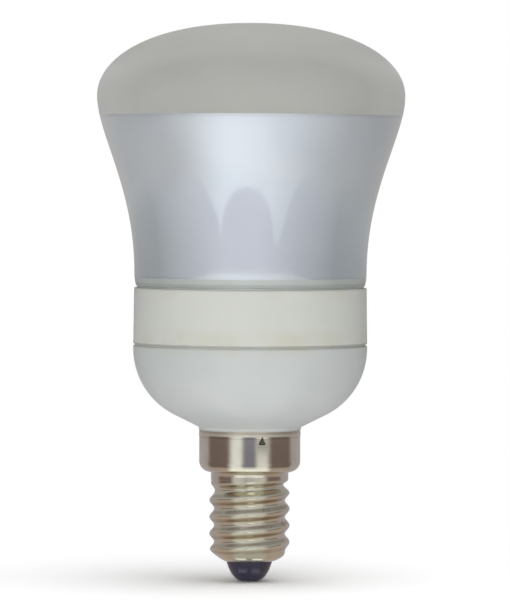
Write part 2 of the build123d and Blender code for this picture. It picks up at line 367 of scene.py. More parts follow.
class Nodes:
    """Adds nodes to one shader tree. An input is a value, or an output that is linked to it."""

    def __init__(self, tree):
        self.tree = tree

    def fill(self, socket, value):
        """Puts a value in a socket, or links an output to it."""
        if isinstance(value, bpy.types.NodeSocket):
            self.tree.links.new(value, socket)
        elif socket.type == "RGBA":
            socket.default_value = (*value, 1.0)
        else:
            socket.default_value = value

    def add(self, kind, settings=None, **inputs):
        """Adds a shader node. In an input's name _ stands for a blank."""
        node = self.tree.nodes.new("ShaderNode" + kind)
        for name, value in (settings or {}).items():
            setattr(node, name, value)
        for name, value in inputs.items():
            self.fill(node.inputs[name.replace("_", " ")], value)
        return node

    def maths(self, operation, *values):
        """One step of arithmetic, done again for each value after the second."""
        result = values[0]
        for value in values[1:] or [None]:
            node = self.add("Math", {"operation": operation})
            self.fill(node.inputs[0], result)
            if value is not None:
                self.fill(node.inputs[1], value)
            result = node.outputs["Value"]
        return result

    def times(self, *values):
        """The product of the values."""
        return self.maths("MULTIPLY", *values)

    def apart(self, first, second):
        """How far two values are from each other."""
        return self.maths("ABSOLUTE", self.maths("SUBTRACT", first, second))

    def spread(self, value, low, high, to_low=0.0, to_high=1.0, kind="LINEAR"):
        """A value moved from one range to another, and kept inside it."""
        node = self.add(
            "MapRange", {"interpolation_type": kind},
            Value=value, From_Min=low, From_Max=high, To_Min=to_low, To_Max=to_high,
        )
        return node.outputs["Result"]

    def ease(self, value, low, high, to_low=0.0, to_high=1.0):
        """The same, with soft ends."""
        return self.spread(value, low, high, to_low, to_high, "SMOOTHSTEP")

    def between(self, mask, first, second):
        """A value that goes from the first to the second as the mask goes from 0 to 1."""
        return self.spread(mask, 0.0, 1.0, first, second)

    def mix(self, mask, first, second):
        """A colour that goes from the first to the second as the mask goes from 0 to 1."""
        node = self.add("Mix", {"data_type": "RGBA"}, Factor=mask)
        sockets = {socket.identifier: socket for socket in (*node.inputs, *node.outputs)}
        self.fill(sockets["A_Color"], first)
        self.fill(sockets["B_Color"], second)
        return sockets["Result_Color"]

    def darken(self, shade, mask, share=1.0):
        """A colour that loses this share of its light where the mask is 1."""
        return self.mix(self.times(mask, share), shade, BLACK)

    def blend(self, mask, first, second):
        """A shader that goes from the first to the second as the mask goes from 0 to 1."""
        node = self.add("MixShader", Fac=mask)
        self.fill(node.inputs[1], first)
        self.fill(node.inputs[2], second)
        return node.outputs["Shader"]

    def show(self, shader, kind="OutputMaterial"):
        """Makes a shader the tree's surface."""
        self.add(kind, Surface=shader)

    def spot(self):
        """Where a point of the surface is in the bulb's own frame, in metres."""
        return self.add("TexCoord").outputs["Object"]

    def split(self):
        """The same place as its X, Y and Z."""
        return self.add("SeparateXYZ", Vector=self.spot()).outputs

    def axis_distance(self):
        """How far a point of the surface is from the bulb's axis, in metres."""
        split = self.split()
        squares = [self.times(split[axis], split[axis]) for axis in ("X", "Y")]
        return self.maths("SQRT", self.maths("ADD", *squares))

    def noise(self, where, detail, scale, kind="3D", **seed):
        """Uneven values of about 0 to 1. The 4D kind has another pattern for each seed W."""
        settings = {"noise_dimensions": kind}
        return self.add("TexNoise", settings, Vector=where, Detail=detail, Scale=scale, **seed).outputs["Fac"]

    def shared(self, name, build, **inputs):
        """The result of a node group that materials share. build works it out from the group's inputs."""
        group = bpy.data.node_groups.get(name) or new_group(name, build, inputs)
        return self.add("Group", {"node_tree": group}, **inputs).outputs["Mask"]

    def grain(self, size, detail):
        """Fine grain all over a surface, of this size in metres."""
        def build(nodes, given):
            scale = nodes.maths("DIVIDE", 1.0, given["Size"])
            return nodes.spread(nodes.noise(nodes.spot(), given["Detail"], scale), 0.3, 0.7)
        return self.shared("Fine grain", build, Size=size, Detail=detail)

    def mottle(self, size, cover, seed):
        """Soft uneven patches of this size in metres, on this share of the surface."""
        def build(nodes, given):
            scale = nodes.maths("DIVIDE", 1.0, given["Size"])
            patches = nodes.noise(nodes.spot(), 4.0, scale, "4D", W=given["Seed"])
            low = nodes.maths("SUBTRACT", 0.85, given["Cover"])
            return nodes.ease(patches, low, nodes.maths("ADD", low, 0.3))
        return self.shared("Soft mottle", build, Size=size, Cover=cover, Seed=seed)

    def band(self, low, high, blend, wander=0.0):
        """A level band around the axis. Its edges are as soft as blend and stray by wander, in metres."""
        def build(nodes, given):
            stray = nodes.maths("SUBTRACT", nodes.noise(nodes.spot(), 3.0, 1 / (5 * MM)), 0.5)
            level = nodes.maths("ADD", nodes.split()["Z"], nodes.times(stray, given["Wander"]))
            above = nodes.maths("SUBTRACT", level, given["Low"])
            below = nodes.maths("SUBTRACT", given["High"], level)
            inside = nodes.maths(
                "MINIMUM", *(nodes.maths("DIVIDE", side, given["Blend"]) for side in (above, below)))
            return nodes.ease(inside, -0.5, 0.5)
        return self.shared("Level band", build, Low=low, High=high, Blend=blend, Wander=wander)

    def dress(self, shader, paint, roughness, relief=None, depth=0.0):
        """Gives a surface its varying colour and roughness, and a relief of 0 to 1 pressed in so deep."""
        self.fill(shader.inputs["Base Color"], paint)
        self.fill(shader.inputs["Roughness"], roughness)
        if relief is not None:
            bump = self.add("Bump", Height=relief, Distance=depth, Strength=1.0)
            self.fill(shader.inputs["Normal"], bump.outputs["Normal"])


def new_group(name, build, inputs):
    """A shader node group with these inputs and their defaults, and one output, which build works out."""
    tree = bpy.data.node_groups.new(name, "ShaderNodeTree")
    for socket, default in inputs.items():
        made = tree.interface.new_socket(socket, in_out="INPUT", socket_type="NodeSocketFloat")
        made.default_value = default
    tree.interface.new_socket("Mask", in_out="OUTPUT", socket_type="NodeSocketFloat")
    given = tree.nodes.new("NodeGroupInput").outputs
    result = tree.nodes.new("NodeGroupOutput").inputs["Mask"]
    tree.links.new(build(Nodes(tree), given), result)
    return tree


def emptied(owner):
    """The emptied node tree of a material or a world."""
    owner.use_nodes = True
    owner.node_tree.nodes.clear()
    return Nodes(owner.node_tree)


def new_material(name, **inputs):
    """A material with one surface shader, whose plain values are set on its own sockets."""
    made = bpy.data.materials.new(name)
    nodes = emptied(made)
    shader = nodes.add("BsdfPrincipled", **inputs)
    nodes.show(shader.outputs["BSDF"])
    return made, nodes, shader


def shaded(base, *parts):
    """A colour times one part for all of it, or one each for its red, green and blue."""
    return tuple(level * part for level, part in zip(base, parts * 3))


# Materials of the glass

def frosted_glass(sizes):
    """Etched glass: dull and finely grained, with painted shade on its shoulder and a painted sheen where it
    turns away.
    """
    made, nodes, shader = new_material(
        "Frosted glass", IOR=1.5, Specular_IOR_Level=0.35,
        Subsurface_Weight=1.0, Subsurface_Radius=(1.0, 1.0, 1.0), Subsurface_Scale=35 * MM,
    )
    surface = nodes.mix(nodes.mottle(14 * MM, cover=0.4, seed=1.0), sizes.frost, shaded(sizes.frost, 0.96))
    # Painted shade: the colour is darker on the dome's shoulder.
    shoulder = nodes.band(sizes.shade_low, sizes.shade_high, blend=8 * MM)
    surface = nodes.darken(surface, shoulder, share=0.15)
    # Painted sheen: below the shoulder, the colour is paler where the surface turns away.
    turned = nodes.add("LayerWeight", Blend=0.5).outputs["Facing"]
    flank = nodes.band(GLASS_LOW.z, sizes.shade_high - 2.4 * MM, blend=5 * MM)
    edge = nodes.times(nodes.spread(turned, 0.35, 0.85), nodes.between(flank, 0.25, 1.0))
    surface = nodes.mix(edge, surface, sizes.frost_edge)
    etching = nodes.grain(0.16 * MM, detail=4.0)
    nodes.dress(shader, surface, nodes.between(etching, 0.5, 0.66), etching, depth=0.012 * MM)
    return made


def aluminised_glass(sizes):
    """A film of aluminium behind smooth blown glass, a little duller towards its two ends."""
    made, nodes, shader = new_material(
        "Aluminised glass", Metallic=1.0, Coat_Weight=1.0, Coat_Roughness=0.04, Coat_IOR=1.5)
    patches = nodes.mottle(11 * MM, cover=0.45, seed=2.0)
    film = nodes.mix(patches, sizes.silver, shaded(sizes.silver, 0.94, 0.955, 0.97))
    border = nodes.band(sizes.frost_line - 0.45 * MM, GLASS_HIGH.z, blend=0.6 * MM, wander=0.5 * MM)
    film = nodes.mix(border, film, shaded(sizes.silver, 0.88))
    foot = nodes.band(GLASS_LOW.z, sizes.silver_line + 0.3 * MM, blend=0.4 * MM, wander=0.4 * MM)
    film = nodes.mix(nodes.times(foot, 0.25), film, sizes.bare)
    roughness = nodes.between(nodes.grain(0.5 * MM, detail=2.0), 0.09, 0.13)
    waves = nodes.grain(16 * MM, detail=1.0)
    nodes.dress(shader, film, roughness, waves, depth=0.03 * MM)
    return made


def bare_glass(sizes):
    """The glass's lower edge, where the film behind it is thin and faintly green, and dirt gathers."""
    made, nodes, shader = new_material("Bare glass edge", IOR=1.5, Metallic=0.4)
    dirt = nodes.mottle(6 * MM, cover=0.4, seed=3.0)
    surface = nodes.mix(dirt, sizes.bare, shaded(sizes.bare, 0.95, 0.95, 0.92))
    edge = GLASS_HIGH.z - sizes.dome_height - sizes.wall_height
    soiled = nodes.band(edge + 0.15 * MM, edge + 0.6 * MM, blend=0.5 * MM, wander=0.3 * MM)
    surface = nodes.darken(surface, soiled, share=0.22)
    nodes.dress(shader, surface, nodes.between(dirt, 0.3, 0.34))
    return made


# Materials of the plastic

def white_plastic(name, shade, sizes, seams):
    """Satin moulded plastic, faintly uneven, with a patchy painted yellow bounce light along its seams, and
    dirty along them.

    Each seam is its height, how far the painted yellow bounce light reaches and how dirty its edge is.
    """
    made, nodes, shader = new_material(name, IOR=1.49, Specular_IOR_Level=0.45)
    surface = nodes.mix(nodes.mottle(9 * MM, cover=0.45, seed=4.0), shade, shaded(shade, 0.955, 0.97, 0.965))
    # Painted bounce light: patches of warm tint along each seam.
    bounce_patches = nodes.times(nodes.mottle(7 * MM, cover=0.42, seed=5.0), 0.32)
    for level, reach, dirt in seams:
        near = nodes.band(level - reach, level + reach, blend=reach, wander=0.8 * MM)
        surface = nodes.mix(nodes.times(near, bounce_patches), surface, sizes.yellowing)
        edge = nodes.band(level - 0.3 * MM, level + 0.3 * MM, blend=0.2 * MM, wander=0.15 * MM)
        surface = nodes.mix(nodes.times(edge, dirt), surface, sizes.grime)
    texture = nodes.grain(0.22 * MM, detail=3.0)
    nodes.dress(shader, surface, nodes.between(texture, 0.38, 0.5), texture, depth=0.006 * MM)
    return made


# Materials of the cap

def nickel_plate(sizes):
    """Bright plated sheet, with drawing lines round it and brown tarnish on the thread's flanks. It has a
    painted shadow on the rim's top under the housing's foot, painted shade in the stake dents and a dark line
    under the rim.
    """
    made, nodes, shader = new_material("Nickel plate", Metallic=1.0)
    out = nodes.axis_distance()
    half_depth = sizes.thread_depth / 2
    from_middle = nodes.apart(out, sizes.thread_radius - half_depth)
    thread_end = SHELL_LOW.z + sizes.thread_height - 2.4 * MM
    threaded = nodes.band(SHELL_LOW.z, thread_end, blend=1.0 * MM)
    flank = nodes.times(nodes.ease(from_middle, 0.1 * MM, half_depth, 1.0, 0.0), threaded)
    patches = nodes.mottle(4 * MM, cover=0.5, seed=6.0)
    dulled = nodes.times(flank, nodes.between(patches, 0.3, 0.7))
    top = SHELL_HIGH.z
    # Painted shadow: the top of the rim is darkened where the housing's foot overhangs it.
    foot_shadow = nodes.band(top - 0.5 * MM, top + 0.3 * MM, blend=0.3 * MM, wander=0.2 * MM)
    tarnish_and_shade_mask = nodes.maths("MAXIMUM", dulled, nodes.times(patches, 0.18), nodes.times(foot_shadow, 0.5))
    surface = nodes.mix(tarnish_and_shade_mask, sizes.nickel, sizes.tarnish)
    rim = top - sizes.rim_height
    # A dark line under the rim.
    rim_line = nodes.band(rim - 0.16 * MM, rim + 0.03 * MM, blend=0.1 * MM, wander=0.1 * MM)
    # Painted shade in the stake dents.
    staked = nodes.band(rim - 1.3 * MM, rim + 0.8 * MM, blend=0.1 * MM)
    pressed = nodes.spread(out, sizes.skirt_radius - 0.1 * MM, sizes.skirt_radius - 0.02 * MM, 1.0, 0.0)
    # The dark line under the rim and the painted shade in the stake dents take this colour.
    dirt = nodes.maths("MAXIMUM", nodes.times(rim_line, 0.2), nodes.times(staked, pressed, 0.86))
    line_length, line_width = 6 * MM, 0.12 * MM
    stretched = nodes.add("VectorMath", {"operation": "MULTIPLY"})
    nodes.fill(stretched.inputs[0], nodes.spot())
    nodes.fill(stretched.inputs[1], (1 / line_length, 1 / line_length, 1 / line_width))
    drawn = nodes.spread(nodes.noise(stretched.outputs["Vector"], 3.0, 1.0), 0.3, 0.7)
    roughness = nodes.maths("ADD", nodes.between(drawn, 0.1, 0.15), nodes.times(tarnish_and_shade_mask, 0.16))
    nodes.dress(shader, nodes.mix(dirt, surface, sizes.grime), roughness, drawn, depth=0.0005 * MM)
    return made


def black_glass(sizes):
    """Pressed black glass, glossy, with a little dust on it."""
    made, nodes, shader = new_material("Black glass", IOR=1.52)
    dust = nodes.mottle(2.5 * MM, cover=0.35, seed=7.0)
    grey = tuple(level * 1.9 + 0.006 for level in sizes.black_glass)
    nodes.dress(shader, nodes.mix(dust, sizes.black_glass, grey), nodes.between(dust, 0.12, 0.34))
    return made


def dull_tin(sizes):
    """Tinned metal, dull and scratched where it has met a holder."""
    made, nodes, shader = new_material("Dull tin", Metallic=1.0)
    rubbed = nodes.mottle(1.2 * MM, cover=0.5, seed=8.0)
    surface = nodes.mix(rubbed, sizes.tin, shaded(sizes.tin, 0.8, 0.76, 0.7))
    scratches = nodes.grain(0.12 * MM, detail=3.0)
    nodes.dress(shader, surface, nodes.between(scratches, 0.32, 0.55), scratches, depth=0.008 * MM)
    return made


# Pieces

def glass_outline(sizes):
    """The envelope's outline, from the top of the dome to the underside of its stub."""
    top, stub_end = GLASS_HIGH.z, GLASS_LOW.z
    equator = top - sizes.dome_height
    lower_edge = equator - sizes.wall_height
    neck_level = lower_edge + sizes.tuck_height
    dome = bezier(
        (0.0, top), (sizes.dome_crown, top),
        (sizes.head_radius, equator + sizes.dome_shoulder), (sizes.head_radius, equator), steps=64)
    wall = bezier(
        (sizes.head_radius, equator), (sizes.head_radius, equator - sizes.head_pull),
        (sizes.neck_radius, lower_edge + sizes.neck_pull), (sizes.neck_radius, neck_level), steps=80)
    bend = (sizes.tuck_height ** 2 + sizes.tuck ** 2) / (2 * sizes.tuck)
    tuck_turn = degrees(asin((sizes.tuck_height - sizes.edge_round) / bend))
    tuck = arc((sizes.neck_radius - bend, neck_level), bend, 0, -tuck_turn, steps=16)
    last = tuck[-1]
    edge = arc((last[0] - sizes.edge_round, last[1]), sizes.edge_round, -tuck_turn, -90, steps=6)
    seam_end = COLLAR_HIGH.z + SEAM_CLEARANCE
    stub = [
        (edge[-1][0], seam_end), (sizes.stub_radius, seam_end), (sizes.stub_radius, stub_end),
        (0.0, stub_end),
    ]
    outline = dome + wall[1:] + tuck[1:] + edge[1:] + stub
    outline = with_height(outline, sizes.frost_line)
    return with_height(outline, sizes.silver_line)


class BULB_OT_envelope(Operator):
    """Add the glass envelope: frosted dome, aluminised wall and bare lower edge"""

    bl_idname = "bulb.envelope"
    bl_label = "Glass Envelope"

    def execute(self, context):
        sizes = context.scene.bulb_glass
        glass = lathe("glass_envelope", glass_outline(sizes), segments=256)
        finishes = frosted_glass(sizes), aluminised_glass(sizes), bare_glass(sizes)
        place(glass, "reflector_glass", "aluminised_glass", *finishes)
        for face in glass.data.polygons:
            level = face.center.z
            face.material_index = (level < sizes.frost_line) + (level < sizes.silver_line)
        return {"FINISHED"}


class BULB_OT_collar(Operator):
    """Add the white collar ring that holds the glass"""

    bl_idname = "bulb.collar"
    bl_label = "Collar"

    def execute(self, context):
        sizes = context.scene.bulb_plastic
        low, high = COLLAR_LOW.z, COLLAR_HIGH.z
        lap_top, shelf_top = HOUSING_HIGH.z, GLASS_LOW.z
        soft, bore = sizes.collar_round, sizes.collar_bore
        inner = bore - sizes.shelf_width
        lower = arc((sizes.housing_radius - soft, low + soft), soft, -90, 0, steps=6)
        upper = arc((sizes.collar_radius - soft, high - soft), soft, 0, 90, steps=6)
        side = line(lower[-1], upper[0], steps=24)
        outline = [(bore, low)] + lower + side[1:-1] + upper + [
            (bore, high), (bore, shelf_top), (inner, shelf_top), (inner, lap_top), (bore, lap_top),
        ]
        seams = [(high, 1.5 * MM, 0.2), (low, 2.4 * MM, 0.45)]
        plastic = white_plastic("Collar plastic", sizes.collar, sizes, seams)
        collar = lathe("collar_band", outline, segments=256, closed=True)
        place(collar, "collar_ring", "white_plastic", plastic)
        return {"FINISHED"}


class BULB_OT_housing(Operator):
    """Add the white ballast housing, a bowl that stands on the cap"""

    bl_idname = "bulb.housing"
    bl_label = "Ballast Housing"

    def execute(self, context):
        sizes = context.scene.bulb_plastic
        foot, lap_top, plug_end = SHELL_HIGH.z, HOUSING_HIGH.z, HOUSING_LOW.z
        top = COLLAR_LOW.z - sizes.seam_gap
        radius, soft = sizes.housing_radius, sizes.collar_round
        slope = degrees(sizes.bowl_slope)
        bowl_centre = (radius - sizes.bowl_round, top - sizes.housing_side)
        bowl = arc(bowl_centre, sizes.bowl_round, slope - 90, 0, steps=48)
        edge = arc((radius - soft, top - soft), soft, 0, 90, steps=6)
        reach = sizes.foot_round * tan(radians(45 - slope / 2))
        corner = (sizes.foot_radius + sizes.foot_round, foot + sizes.foot_lip - reach)
        lip = [(sizes.foot_radius, foot)] + arc(corner, sizes.foot_round, 180, 90 + slope, steps=8)
        cone = line(lip[-1], bowl[0], steps=12)
        side = line(bowl[-1], edge[0], steps=4)
        outline = [(0.0, plug_end), (sizes.plug_radius, plug_end), (sizes.plug_radius, foot)]
        outline += lip + cone[1:] + bowl[1:] + side[1:-1] + edge
        seam_floor, seam_top = radius - sizes.seam_depth, COLLAR_LOW.z - SEAM_CLEARANCE
        outline += [(seam_floor, top), (seam_floor, seam_top), (sizes.lap_radius, seam_top)]
        outline += [(sizes.lap_radius, lap_top), (0.0, lap_top)]
        seams = [(top, 1.2 * MM, 0.08), (foot, 1.4 * MM, 0.2)]
        plastic = white_plastic("Housing plastic", sizes.housing, sizes, seams)
        housing = lathe("housing_bowl", outline, segments=256)
        place(housing, "ballast_housing", "white_plastic", plastic)
        return {"FINISHED"}


def thread_section(sizes, level):
    """Radius, throw and turn of the barrel's round section at a level above the shell's end.

    A rolled thread cut level is a circle set off the axis, which turns once in each pitch.
    """
    deepening = sin(pi / 2 * min(level / sizes.run_in, 1))
    below_neck = sizes.thread_height - level
    dying = sin(pi / 2 * min(below_neck / sizes.run_out, 1)) ** 2
    crest = sizes.neck_radius + (sizes.thread_radius - sizes.neck_radius) * dying
    if level < sizes.end_height:
        end_radius = sizes.opening_radius + sizes.sheet
        rise = 1 - (1 - level / sizes.end_height) ** sizes.end_power
        crest = end_radius + (sizes.thread_radius - end_radius) * rise
    from_waist = min(abs(below_neck - sizes.waist_below) / sizes.waist_reach, 1)
    crest -= sizes.waist_drop * cos(pi / 2 * from_waist) ** 2
    throw = sizes.thread_depth / 2 * deepening * dying
    return crest - throw, throw, 2 * pi * (level - sizes.first_crest) / sizes.pitch


def ring_angles(sizes, stakes):
    """Angles around the shell, close together at the stakes."""
    gap = 2 * pi / sizes.stake_count
    near = radians(8)
    fine_steps, coarse_steps = 36, 54
    offsets = [-near + 2 * near * step / fine_steps for step in range(fine_steps)]
    offsets += [near + (gap - 2 * near) * step / coarse_steps for step in range(coarse_steps)]
    return [stake + offset for stake in stakes for offset in offsets]


def stake_radius(sizes, angle, level, stakes, radius):
    """A skirt radius at an angle and level, pressed in where a stake is."""
    rim = sizes.skirt_radius + sizes.rim_proud
    tip = SHELL_HIGH.z - sizes.rim_height + sizes.stake_lap
    down = tip - level
    lean = atan(sizes.stake_width / 2 / sizes.stake_height)
    for stake in stakes:
        away = (angle - stake + pi) % (2 * pi) - pi
        aside = abs(rim * sin(away))
        inside = min(sizes.stake_height - down, (down * tan(lean) - aside) * cos(lean))
        if cos(away) > 0 and inside > 0:
            depth = min(inside / tan(sizes.stake_taper), sizes.stake_depth)
            return min(radius, hypot(rim - depth, aside))
    return radius


def skirt_outline(sizes, thread_top, skirt_bottom):
    """The shell's outside, from the top of the thread to the top of the skirt."""
    neck, skirt, top = sizes.neck_radius, sizes.skirt_radius, SHELL_HIGH.z
    soft, corner = sizes.neck_round, sizes.skirt_round
    rim_bottom = top - sizes.rim_height
    outline = line((neck, thread_top), (neck, skirt_bottom - soft), steps=6)[1:]
    outline += arc((neck + soft, skirt_bottom - soft), soft, 180, 90, steps=5)[1:]
    outline += arc((skirt - corner, skirt_bottom + corner), corner, -90, 0, steps=14)
    outline += line(outline[-1], (skirt, rim_bottom), steps=44)[1:]
    outline += line(outline[-1], (skirt + sizes.rim_proud, rim_bottom + sizes.rim_ease), steps=6)[1:]
    return outline + line(outline[-1], (skirt, top), steps=14)[1:]


def bore_outline(sizes, thread_top, skirt_bottom):
    """The shell's inside, from the top of the skirt to the opening for the insulator."""
    sheet, opening = sizes.sheet, sizes.opening_radius
    skirt_bore, neck_bore = sizes.skirt_radius - sheet, sizes.neck_radius - sheet
    barrel_bore = sizes.thread_radius - sizes.thread_depth - sizes.waist_drop - sheet
    seat, slope_top = SHELL_LOW.z + 0.6 * MM, SHELL_LOW.z + 2.1 * MM
    return [
        (skirt_bore, SHELL_HIGH.z), (skirt_bore, skirt_bottom + sizes.skirt_round),
        (neck_bore, skirt_bottom + sheet), (neck_bore, thread_top), (barrel_bore, thread_top),
        (barrel_bore, slope_top), (opening, seat), (opening, SHELL_LOW.z),
    ]


class BULB_OT_screw_shell(Operator):
    """Add the nickel plated shell with its rolled thread, neck, skirt, rim and stakes"""

    bl_idname = "bulb.screw_shell"
    bl_label = "Screw Shell"

    def execute(self, context):
        sizes = context.scene.bulb_cap
        thread_top = SHELL_LOW.z + sizes.thread_height
        skirt_bottom = thread_top + sizes.neck_height
        first = sizes.stake_turn - pi / 2
        stakes = [first + 2 * pi * index / sizes.stake_count for index in range(sizes.stake_count)]
        angles = ring_angles(sizes, stakes)
        rings = []
        thread_steps = 130
        for step in range(thread_steps + 1):
            level = sizes.thread_height * step / thread_steps
            radius, throw, twist = thread_section(sizes, level)
            off_x, off_y, up = around(throw, twist, SHELL_LOW.z + level)
            rings.append([(off_x + radius * cos(a), off_y + radius * sin(a), up) for a in angles])
        for radius, level in skirt_outline(sizes, thread_top, skirt_bottom):
            rings.append([
                around(stake_radius(sizes, angle, level, stakes, radius), angle, level) for angle in angles])
        for radius, level in bore_outline(sizes, thread_top, skirt_bottom):
            rings.append([around(radius, angle, level) for angle in angles])
        shell = finish_mesh("cap_shell", *join_rings(rings, True))
        place(shell, "screw_shell", "nickel_plate", nickel_plate(sizes))
        return {"FINISHED"}


class BULB_OT_insulator(Operator):
    """Add the black glass cone in the shell's end"""

    bl_idname = "bulb.insulator"
    bl_label = "Cap Insulator"

    def execute(self, context):
        sizes = context.scene.bulb_cap
        end, top, shell_end = INSULATOR_LOW.z, INSULATOR_HIGH.z, SHELL_LOW.z
        throat, flange = sizes.opening_radius - CAP_CLEARANCE, INSULATOR_HIGH.x
        throat_top, flange_low = shell_end + 0.5 * MM, shell_end + 2.0 * MM
        recess, recess_top = CONTACT_HIGH.x + CAP_CLEARANCE, sizes.eyelet_thickness
        flat = recess + sizes.cone_rim
        pull, lean = sizes.cone_side_pull, sizes.cone_lean
        side = bezier(
            (flat, end), (flat + sizes.cone_end_pull, end),
            (throat - pull * sin(lean), shell_end - pull * cos(lean)), (throat, shell_end), steps=40)
        outline = [(0.0, recess_top), (recess, recess_top), (recess, end)] + side + [
            (throat, throat_top), (flange, flange_low), (flange, top), (0.0, top),
        ]
        cone = lathe("insulator_cone", outline, segments=128)
        place(cone, "cap_insulator", "black_glass", black_glass(sizes))
        return {"FINISHED"}


class BULB_OT_contact(Operator):
    """Add the tinned centre contact, an eyelet on the insulator's end"""

    bl_idname = "bulb.contact"
    bl_label = "Centre Contact"

    def execute(self, context):
        sizes = context.scene.bulb_cap
        low, high, radius = CONTACT_LOW.z, CONTACT_HIGH.z, CONTACT_HIGH.x
        soft, shank = sizes.eyelet_round, sizes.shank_radius
        edge = arc((radius - soft, low + soft), soft, -90, 0, steps=6)
        head_top = low + sizes.eyelet_thickness
        outline = [(0.0, low)] + edge + [(radius, head_top), (shank, head_top), (shank, high), (0.0, high)]
        contact = lathe("contact_eyelet", outline, segments=96)
        place(contact, "centre_contact", "tinned_brass", dull_tin(sizes))
        return {"FINISHED"}


# Stage

def seen(nodes):
    """1 for what the camera, a reflection or clear glass sees, and 0 for light on its way to a surface."""
    path = nodes.add("LightPath").outputs
    return nodes.maths("MAXIMUM", *(path[f"Is {kind} Ray"] for kind in ("Glossy", "Transmission", "Camera")))


def glow_material(name, sizes, paint, cover=None):
    """A card that glows. paint makes its colour, and cover is 1 where it is whole and 0 where it is clear."""
    made = bpy.data.materials.new(name)
    nodes = emptied(made)
    surface = nodes.add("Emission", Color=paint(nodes, sizes), Strength=1.0).outputs["Emission"]
    if cover:
        surface = nodes.blend(cover(nodes), nodes.add("BsdfTransparent").outputs["BSDF"], surface)
    nodes.show(surface)
    return made


def floor_material(sizes):
    """A white floor, shaded near the bulb and plain white further off."""
    made = bpy.data.materials.new("White floor")
    nodes = emptied(made)
    looked_at = seen(nodes)
    away = nodes.add("VectorMath", {"operation": "LENGTH"})
    nodes.fill(away.inputs[0], nodes.add("NewGeometry").outputs["Position"])
    far = nodes.ease(away.outputs["Value"], sizes.shadow_low, sizes.shadow_high)
    lights_bulb, shows_shadow = 0.98, 1.7
    matt = nodes.add("BsdfDiffuse", Color=nodes.between(looked_at, lights_bulb, shows_shadow))
    white = nodes.add("Emission", Color=WHITE, Strength=1.0)
    nodes.show(nodes.blend(nodes.times(far, looked_at), matt.outputs["BSDF"], white.outputs["Emission"]))
    return made


def stage_piece(name, vertices, faces, material):
    """A piece of the stage."""
    mesh = bpy.data.meshes.new(name)
    mesh.from_pydata(vertices, [], faces)
    mesh.materials.append(material)
    made = add_object(name, mesh)
    return made


def sweep(start, end, parts=1):
    """Angles in degrees from start to end, with so many parts in each degree."""
    steps = (end - start) * parts
    return [start + (end - start) * step / steps for step in range(steps + 1)]


def ribbon(name, rows, material):
    """A card through rows of points, which is mirrored and hides or shades nothing. It faces the bulb."""
    wide = len(rows[0])
    faces = []
    for row in range(len(rows) - 1):
        for column in range(wide - 1):
            corner = row * wide + column
            faces.append((corner, corner + wide, corner + wide + 1, corner + 1))
    card = stage_piece(name, [point for row in rows for point in row], faces, material)
    for ray in ("camera", "diffuse", "transmission", "volume_scatter", "shadow"):
        setattr(card, "visible_" + ray, False)


def card_point(radius, angle, level):
    """A point round the bulb. The angle is in degrees from the front towards +X."""
    return around(radius, radians(angle) - pi / 2, level)


def front_angle(nodes):
    """The angle of a point of a card round the bulb, from the front towards +X, and its height."""
    split = nodes.split()
    return nodes.maths("ARCTAN2", split["X"], nodes.times(split["Y"], -1.0)), split["Z"]


def wrap_shade(nodes, sizes):
    """Bright in front and grey at the sides and behind, and a little greyer low down and high up.

    The brightness falls off faster towards the left than towards the right.
    """
    left_fall, right_fall = 10.5, 2.8
    angle, level = front_angle(nodes)
    aside = nodes.maths("SUBTRACT", angle, sizes.wrap_glow)
    facing = nodes.spread(nodes.maths("COSINE", aside), -1.0, 1.0)
    glow = nodes.maths(
        "POWER", facing, nodes.spread(aside, radians(-6), radians(6), left_fall, right_fall))
    to_right = nodes.spread(nodes.maths("SINE", angle), -1.0, 1.0, 0.0, 0.17)
    lowered = nodes.spread(level, 8 * MM, 32 * MM, 0.13, 0.0)
    side = nodes.darken(sizes.wrap_side, nodes.maths("ADD", to_right, lowered))
    raised = nodes.ease(level, 15 * MM, 55 * MM, 0.0, 0.12)
    return nodes.darken(nodes.mix(glow, side, sizes.wrap_front), raised)


def ring_angle(nodes):
    """The angle of a point of the cap's rings from their middle, which is a little left of the front."""
    return nodes.apart(front_angle(nodes)[0], radians(-0.7))


def ring_shade(nodes, aside, front, *changes):
    """Shades round the cap. Each change is the angle in degrees where a shade begins, and that shade."""
    soft = 8.5
    shade = front
    for edge, next_shade in changes:
        past = nodes.ease(aside, radians(edge - soft), radians(edge + soft))
        shade = nodes.mix(past, shade, next_shade)
    return shade


